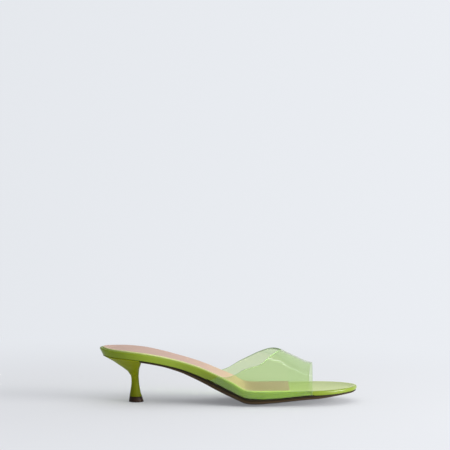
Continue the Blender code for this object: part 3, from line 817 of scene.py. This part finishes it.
def build_upper(materials):
    """The clear band: one sheet from margin to margin over the crown, with its wall and softened cut edges."""
    sides = {}
    for name, sign, width in (("lateral", -1, lateral_width), ("medial", 1, medial_width)):
        out_line = table_line(SECTION, SECTION_COLUMNS, name + "_out")
        up_line = table_line(SECTION, SECTION_COLUMNS, name + "_up")
        back_line = table_line(TOPLINE, TOPLINE_COLUMNS, name + "_back")
        sides[name] = ((sign, out_line, up_line, width), back_line)
    places = list(np.linspace(0, TOP_EDGE, CROWN_STEPS + 1))
    places += list(np.linspace(TOP_EDGE, TURN_START, SIDE_STEPS + 1)[1:])
    places += list(np.linspace(TURN_START, TURN_END, TURN_STEPS + 1)[1:])
    places += MARGIN_PLACES
    across = [("lateral", place) for place in places[::-1]] + [("medial", place) for place in places[1:]]

    def rear_end(name, place):
        reach = STRAP_THROAT - STRAP_REAR
        back = sides[name][1](min(place, TOP_EDGE))
        back += (MARGIN_BACK[0] - back) * min(max(place - TOP_EDGE, 0.0), 1.0)
        back += (MARGIN_BACK[1] - back) * min(max(place - TURN_START, 0.0), 1.0)
        return STRAP_THROAT - back * reach

    def front_end(place):
        return STRAP_FRONT - STRAP_FRONT_RAKE * min(place, TOP_EDGE)

    grid = np.zeros((STRAP_STEPS + 1, len(across), 3))
    for i, share in enumerate(np.linspace(0, 1, STRAP_STEPS + 1)):
        for j, (name, place) in enumerate(across):
            start = rear_end(name, place)
            grid[i, j] = upper_point(sides[name][0], place, start + (front_end(place) - start) * share)
    inner_end = places[::-1].index(TOP_EDGE)
    free = slice(inner_end + 2, len(across) - inner_end - 2)
    for _ in range(STRAP_SMOOTHING):
        grid[:, free] = blurred(grid[:, free])

    walls = np.array([wall_at(place) for _, place in across])[None, :, None]
    along = np.gradient(grid, axis=0)
    sideways = np.gradient(grid, axis=1)
    normals = np.cross(sideways, along)
    normals /= np.linalg.norm(normals, axis=2)[:, :, None]
    outer = grid + normals * walls * np.sign(normals[STRAP_STEPS // 2, len(across) // 2, 2])
    add_piece("clear_band", sheet_mesh(grid, outer), "upper", materials)


def blurred(sheet):
    """One pass of smoothing over a grid of points that keeps its four borders."""
    result = sheet.copy()
    result[:, 1:-1] = (sheet[:, :-2] + 2 * sheet[:, 1:-1] + sheet[:, 2:]) / 4
    result[1:-1] = (result[:-2] + 2 * result[1:-1] + result[2:]) / 4
    result[0], result[-1] = sheet[0], sheet[-1]
    result[:, 0], result[:, -1] = sheet[:, 0], sheet[:, -1]
    return result


def wall_at(place):
    """The band's wall, skived thinner where its margin turns in under the footbed."""
    skived = min(max((place - SKIVE_START) / (SKIVE_END - SKIVE_START), 0.0), 1.0)
    return UPPER_WALL + (MARGIN_WALL - UPPER_WALL) * skived


def sheet_mesh(inner, outer):
    """A closed sheet between two grids; its front and rear cut edges are softened and have the second slot."""
    data = bmesh.new()

    def end_rows(at, beside):
        out = inner[at] - inner[beside]
        out /= np.linalg.norm(out, axis=1)[:, None]
        through = outer[at] - inner[at]
        through /= np.linalg.norm(through, axis=1)[:, None]
        return [inner[at] + CUT_EDGE_ROUND * (out + through), outer[at] + CUT_EDGE_ROUND * (out - through)]

    front = end_rows(-1, -2)
    rear = end_rows(0, 1)
    loop = [*inner, *front, *outer[::-1], *rear[::-1]]
    cut_rows = set(range(len(inner) - 1, len(inner) + 2)) | set(range(len(loop) - 3, len(loop)))
    rings = [[data.verts.new(Vector(point)) for point in row] for row in loop]
    for i, ring in enumerate(rings):
        following = rings[(i + 1) % len(rings)]
        for j in range(len(ring) - 1):
            face = data.faces.new((ring[j], ring[j + 1], following[j + 1], following[j]))
            face.material_index = int(i in cut_rows)
    for j in (0, -1):
        data.faces.new([ring[j] for ring in rings])
    bmesh.ops.recalc_face_normals(data, faces=data.faces)
    return data


def feed(tree, socket, value):
    """Sets a socket, or links it where the value is another node's output."""
    if isinstance(value, bpy.types.NodeSocket):
        tree.links.new(value, socket)
    else:
        socket.default_value = value


def axes_of(tree, coordinates):
    """The X, Y and Z of one kind of texture coordinates."""
    place = tree.nodes.new("ShaderNodeTexCoord")
    axes = tree.nodes.new("ShaderNodeSeparateXYZ")
    tree.links.new(place.outputs[coordinates], axes.inputs["Vector"])
    return axes.outputs


def ramp(tree, value, start, end, low=0.0, high=1.0, smooth=False):
    """A value that goes from low to high while another goes from start to end."""
    spread = tree.nodes.new("ShaderNodeMapRange")
    spread.interpolation_type = "SMOOTHSTEP" if smooth else "LINEAR"
    settings = {"Value": value, "From Min": start, "From Max": end, "To Min": low, "To Max": high}
    for name, setting in settings.items():
        feed(tree, spread.inputs[name], setting)
    return spread.outputs["Result"]


def combined(tree, operation, first, second):
    """Two values put together by one operation."""
    node = tree.nodes.new("ShaderNodeMath")
    node.operation = operation
    feed(tree, node.inputs[0], first)
    feed(tree, node.inputs[1], second)
    return node.outputs["Value"]


def blend(tree, share, first, second, kind="RGBA"):
    """A mix of two colours, or of two values, by a share."""
    mix = tree.nodes.new("ShaderNodeMix")
    mix.data_type = kind
    for name, value in (("Factor", share), ("A", first), ("B", second)):
        feed(tree, mix.inputs[name], value)
    return mix.outputs["Result"]


def mix_into_output(tree, share, first, second, output):
    """Sends a mix of two shaders to the tree's output."""
    mix = tree.nodes.new("ShaderNodeMixShader")
    for socket, source in zip(mix.inputs, (share, first, second)):
        tree.links.new(source, socket)
    tree.links.new(mix.outputs["Shader"], tree.nodes[output].inputs["Surface"])


def new_material(name):
    """A material with its node tree and its shader."""
    material = bpy.data.materials.new(name)
    material.use_nodes = True
    tree = material.node_tree
    return material, tree, tree.nodes["Principled BSDF"]


def noise(tree, scale, detail=4.0, roughness=0.5, stretch=(1.0, 1.0, 1.0)):
    """Object-space noise; scale counts features a metre."""
    place = tree.nodes.new("ShaderNodeTexCoord")
    mapping = tree.nodes.new("ShaderNodeMapping")
    mapping.inputs["Scale"].default_value = stretch
    texture = tree.nodes.new("ShaderNodeTexNoise")
    texture.inputs["Scale"].default_value = scale
    texture.inputs["Detail"].default_value = detail
    texture.inputs["Roughness"].default_value = roughness
    tree.links.new(place.outputs["Object"], mapping.inputs["Vector"])
    tree.links.new(mapping.outputs["Vector"], texture.inputs["Vector"])
    return texture.outputs["Fac"]


def remap(tree, value, low=0.0, high=1.0):
    """A noise value, most of which lies between 0.3 and 0.7, spread over a range."""
    return ramp(tree, value, 0.3, 0.7, low, high)


def tinted(tree, value, colour, shade):
    """The colour, varied towards a darker shade of itself by a noise value."""
    darker = [channel * shade for channel in colour]
    return blend(tree, remap(tree, value), (*darker, 1.0), (*colour, 1.0))


def bumped(tree, shader, layers):
    """Stacks bumps of given height in metres on the shader's normal."""
    normal = None
    for value, height in layers:
        bump = tree.nodes.new("ShaderNodeBump")
        bump.inputs["Strength"].default_value = 1.0
        bump.inputs["Distance"].default_value = height
        tree.links.new(value, bump.inputs["Height"])
        if normal:
            tree.links.new(normal, bump.inputs["Normal"])
        normal = bump.outputs["Normal"]
    tree.links.new(normal, shader.inputs["Normal"])


def leather(name, colour, shade, roughness, surface, specular=0.5, foot=None, polish=0.0):
    """Smooth coated leather: fine grain, faint waves of the wrap, patches of colour and gloss.

    foot is a height over the floor and the share of the colour that is left below it, at the floor itself.
    That darkening is painted shade towards the floor.
    polish is the weight of its coat and sheen, which fades out at the heel end.
    """
    material, tree, shader = new_material(name)
    if polish:
        worn = ramp(tree, axes_of(tree, "Object")["X"], DULL_END, POLISHED_FROM, high=polish, smooth=True)
        tree.links.new(worn, shader.inputs["Coat Weight"])
        tree.links.new(worn, shader.inputs["Sheen Weight"])
        shader.inputs["Coat Roughness"].default_value = 0.22
        shader.inputs["Sheen Roughness"].default_value = 0.25
        shader.inputs["Sheen Tint"].default_value = (*SHEEN_TINT, 1.0)
    shader.inputs["Specular IOR Level"].default_value = specular
    patches = noise(tree, 90.0, 3.0)
    fine = noise(tree, surface["grain"], 5.0, 0.62)
    wave = noise(tree, 160.0, 2.0)
    varied = tinted(tree, patches, colour, shade)
    if foot:
        varied = painted_shade_to_floor(tree, varied, *foot)
    tree.links.new(varied, shader.inputs["Base Color"])
    tree.links.new(remap(tree, fine, roughness - 0.04, roughness + 0.06), shader.inputs["Roughness"])
    bumped(tree, shader, [(wave, surface["wave_height"]), (fine, surface["grain_height"])])
    return material


def painted_shade_to_floor(tree, colour, height, share):
    """Painted shade: the colour, falling to a share of itself from a height down to the floor."""
    rise = ramp(tree, axes_of(tree, "Object")["Z"], 0.0, height, low=share, smooth=True)
    product = tree.nodes.new("ShaderNodeVectorMath")
    product.operation = "SCALE"
    tree.links.new(colour, product.inputs[0])
    tree.links.new(rise, product.inputs["Scale"])
    return product.outputs["Vector"]


def clear_sheet():
    """Tinted clear sheet with faint ripples, glossy and see-through; light falls through it."""
    material, tree, shader = new_material("clear_green")
    shader.inputs["Base Color"].default_value = (*BAND_TINT, 1.0)
    shader.inputs["Roughness"].default_value = 0.03
    shader.inputs["IOR"].default_value = 1.04
    shader.inputs["Coat Weight"].default_value = 1.0
    shader.inputs["Coat IOR"].default_value = 1.56
    shader.inputs["Coat Roughness"].default_value = 0.03
    shader.inputs["Transmission Weight"].default_value = 1.0
    bumped(tree, shader, [(noise(tree, 55.0, 2.0), 0.00003)])
    passing = tree.nodes.new("ShaderNodeBsdfTransparent")
    passing.inputs["Color"].default_value = (*BAND_SHADE, 1.0)
    shadow = tree.nodes.new("ShaderNodeLightPath").outputs["Is Shadow Ray"]
    mix_into_output(tree, shadow, shader.outputs["BSDF"], passing.outputs["BSDF"], "Material Output")
    return material


def cut_sheet():
    """The cut edge of the sheet: frosted and denser than its faces."""
    material, tree, shader = new_material("clear_green_cut")
    fine = noise(tree, 2400.0, 3.0)
    tree.links.new(tinted(tree, fine, CUT_EDGE, 0.85), shader.inputs["Base Color"])
    shader.inputs["Roughness"].default_value = 0.50
    shader.inputs["IOR"].default_value = 1.45
    shader.inputs["Alpha"].default_value = 0.70
    bumped(tree, shader, [(fine, 0.00002)])
    return material


def dense_rubber():
    """The lift's dark rubber, with faint rings and a fine dull grain."""
    material, tree, shader = new_material("lift_rubber")
    fine = noise(tree, 3200.0, 4.0)
    rings = noise(tree, 700.0, 2.0, 0.5, (0.1, 0.1, 1.0))
    tree.links.new(tinted(tree, rings, LIFT_BROWN, 0.6), shader.inputs["Base Color"])
    tree.links.new(remap(tree, fine, 0.46, 0.58), shader.inputs["Roughness"])
    shader.inputs["Specular IOR Level"].default_value = 0.2
    bumped(tree, shader, [(rings, 0.00003), (fine, 0.00002)])
    return material


def backdrop_tone(tree, sideways):
    """The backdrop's colour, from its left tone to its right one over a small share to each side."""
    along = ramp(tree, sideways, -BACKDROP_TURN, BACKDROP_TURN)
    return blend(tree, along, (*BACKDROP_LEFT, 1.0), (*BACKDROP_RIGHT, 1.0))


def pale_floor():
    """A pale floor with the shoe's soft shadow, lifted by painted glow, that fades into an even backdrop away
    from it.
    """
    material, tree, shader = new_material("floor_pale")
    shader.inputs["Roughness"].default_value = 0.9
    shader.inputs["Specular IOR Level"].default_value = 0.0
    tree.links.new(tinted(tree, noise(tree, 6.0, 2.0), FLOOR_PALE, 0.992), shader.inputs["Base Color"])
    distance = tree.nodes.new("ShaderNodeVectorMath")
    distance.operation = "DISTANCE"
    distance.inputs[1].default_value = FLOOR_DARKEST
    place = tree.nodes.new("ShaderNodeTexCoord")
    tree.links.new(place.outputs["Object"], distance.inputs[0])
    reach = distance.outputs["Value"]
    depth = combined(tree, "ADD", reach, BACKDROP_SPAN)
    sideways = combined(tree, "DIVIDE", axes_of(tree, "Object")["X"], depth)
    # The floor glows with the backdrop's tone: painted light, its share least at the darkest point and growing
    # with the distance.
    even = tree.nodes.new("ShaderNodeEmission")
    tree.links.new(backdrop_tone(tree, sideways), even.inputs["Color"])
    glow_share = ramp(tree, reach, *FLOOR_FADE, low=FLOOR_LEAST_GLOW, smooth=True)
    mix_into_output(tree, glow_share, shader.outputs["BSDF"], even.outputs["Emission"], "Material Output")
    return material


def build_floor():
    """A large round floor just under the shoe."""
    data = bmesh.new()
    bmesh.ops.create_circle(data, cap_ends=True, segments=96, radius=FLOOR_RADIUS)
    mesh = bpy.data.meshes.new("floor")
    data.to_mesh(mesh)
    data.free()
    mesh.materials.append(pale_floor())
    floor = bpy.data.objects.new("floor", mesh)
    bpy.context.scene.collection.objects.link(floor)
    floor.location = (0.0, 0.0, -FLOOR_SINK)


def add_light(name, place, target, along, width, depth, watts):
    """A white area light that faces its target, its width laid along a direction."""
    light = bpy.data.lights.new(name, "AREA")
    light.shape = "RECTANGLE"
    light.size = width
    light.size_y = depth
    light.energy = watts
    holder = bpy.data.objects.new(name, light)
    bpy.context.scene.collection.objects.link(holder)
    holder.location = place
    away = (Vector(place) - Vector(target)).normalized()
    side = (Vector(along) - away * away.dot(Vector(along))).normalized()
    holder.rotation_euler = Matrix((side, away.cross(side), away)).transposed().to_euler()


def room_strength(tree):
    """The room's brightness: dim low on the near side, bright low past the toe, held back past the heel."""
    x, y, z = axes_of(tree, "Generated")
    horizon, zenith = ROOM_FRONT
    near_horizon = ramp(tree, x, *TOE_SPAN, horizon, ROOM_TOE, smooth=True)
    near = ramp(tree, z, *RISE_SPAN, near_horizon, zenith)
    far = ramp(tree, z, *RISE_SPAN, *ROOM_BACK)
    both = blend(tree, ramp(tree, y, *BACK_SPAN), near, far, "FLOAT")
    return combined(tree, "MULTIPLY", both, ramp(tree, x, *HEEL_SPAN, low=ROOM_HEEL, smooth=True))


def build_light():
    """The room that lights the shoe, the even backdrop that is seen in its place, and the studio's lights."""
    world = bpy.data.worlds.new("studio")
    bpy.context.scene.world = world
    world.use_nodes = True
    tree = world.node_tree
    room = tree.nodes["Background"]
    room.inputs["Color"].default_value = ROOM_WHITE
    tree.links.new(room_strength(tree), room.inputs["Strength"])
    seen = tree.nodes.new("ShaderNodeBackground")
    tree.links.new(backdrop_tone(tree, axes_of(tree, "Generated")["X"]), seen.inputs["Color"])
    direct = tree.nodes.new("ShaderNodeLightPath").outputs["Is Camera Ray"]
    mix_into_output(tree, direct, room.outputs["Background"], seen.outputs["Background"], "World Output")
    for row in LIGHTS:
        add_light(**dict(zip(LIGHT_COLUMNS, row)))


def build_camera():
    """A long lens from the outer side, a little above the shoe and tilted down."""
    camera = bpy.data.cameras.new("camera")
    camera.sensor_width = SENSOR_WIDTH
    camera.lens = LENS
    holder = bpy.data.objects.new("camera", camera)
    bpy.context.scene.collection.objects.link(holder)
    back = CAMERA_DISTANCE * math.cos(CAMERA_ELEVATION)
    up = CAMERA_DISTANCE * math.sin(CAMERA_ELEVATION)
    holder.location = (CAMERA_STATION + SHIFT[0], SHIFT[1] - back, up)
    holder.rotation_euler = (math.pi / 2 - CAMERA_PITCH, 0.0, 0.0)
    bpy.context.scene.camera = holder


# Grain in features a metre, and the heights of the grain and of the waves
WRAP = {"grain": 2600.0, "grain_height": 0.00002, "wave_height": 0.00006}
LINING = {"grain": 1900.0, "grain_height": 0.00003, "wave_height": 0.00003}
SOLE = {"grain": 1500.0, "grain_height": 0.00003, "wave_height": 0.00004}

wrap_leather = leather("wrap_green", WRAP_GREEN, 0.93, 0.36, WRAP, specular=0.2, polish=0.45)
# The heel's colour falls to 0.52 of itself below 30 mm over the floor: painted shade.
heel_leather = leather("heel_green", HEEL_GREEN, 0.90, 0.48, WRAP, specular=0.08, foot=(0.030, 0.52))
sock_leather = leather("sock_nude", SOCK_NUDE, 0.94, 0.62, LINING)
# The sock's cut wall: a pale yellow-green painted highlight.
sock_edge_highlight = leather("sock_edge_highlight", SOCK_EDGE_HIGHLIGHT, 0.95, 0.55, LINING)
# The outsole's set-back band: its own dark colour with painted shade of the recess in it.
sole_dark_shaded = leather("sole_dark_shaded", SOLE_DARK_SHADED, 0.75, 0.50, SOLE, specular=0.2)
sole_edge = leather("sole_edge", SOLE_EDGE, 0.80, 0.55, SOLE, specular=0.2)

build_camera()
build_floor()
build_light()
build_footbed([wrap_leather])
build_sock([sock_leather, sock_edge_highlight])
build_outsole([sole_dark_shaded, sole_edge])
build_heel([heel_leather])
build_top_piece([dense_rubber()])
build_upper([clear_sheet(), cut_sheet()])

bpy.context.scene.view_settings.view_transform = "Standard"
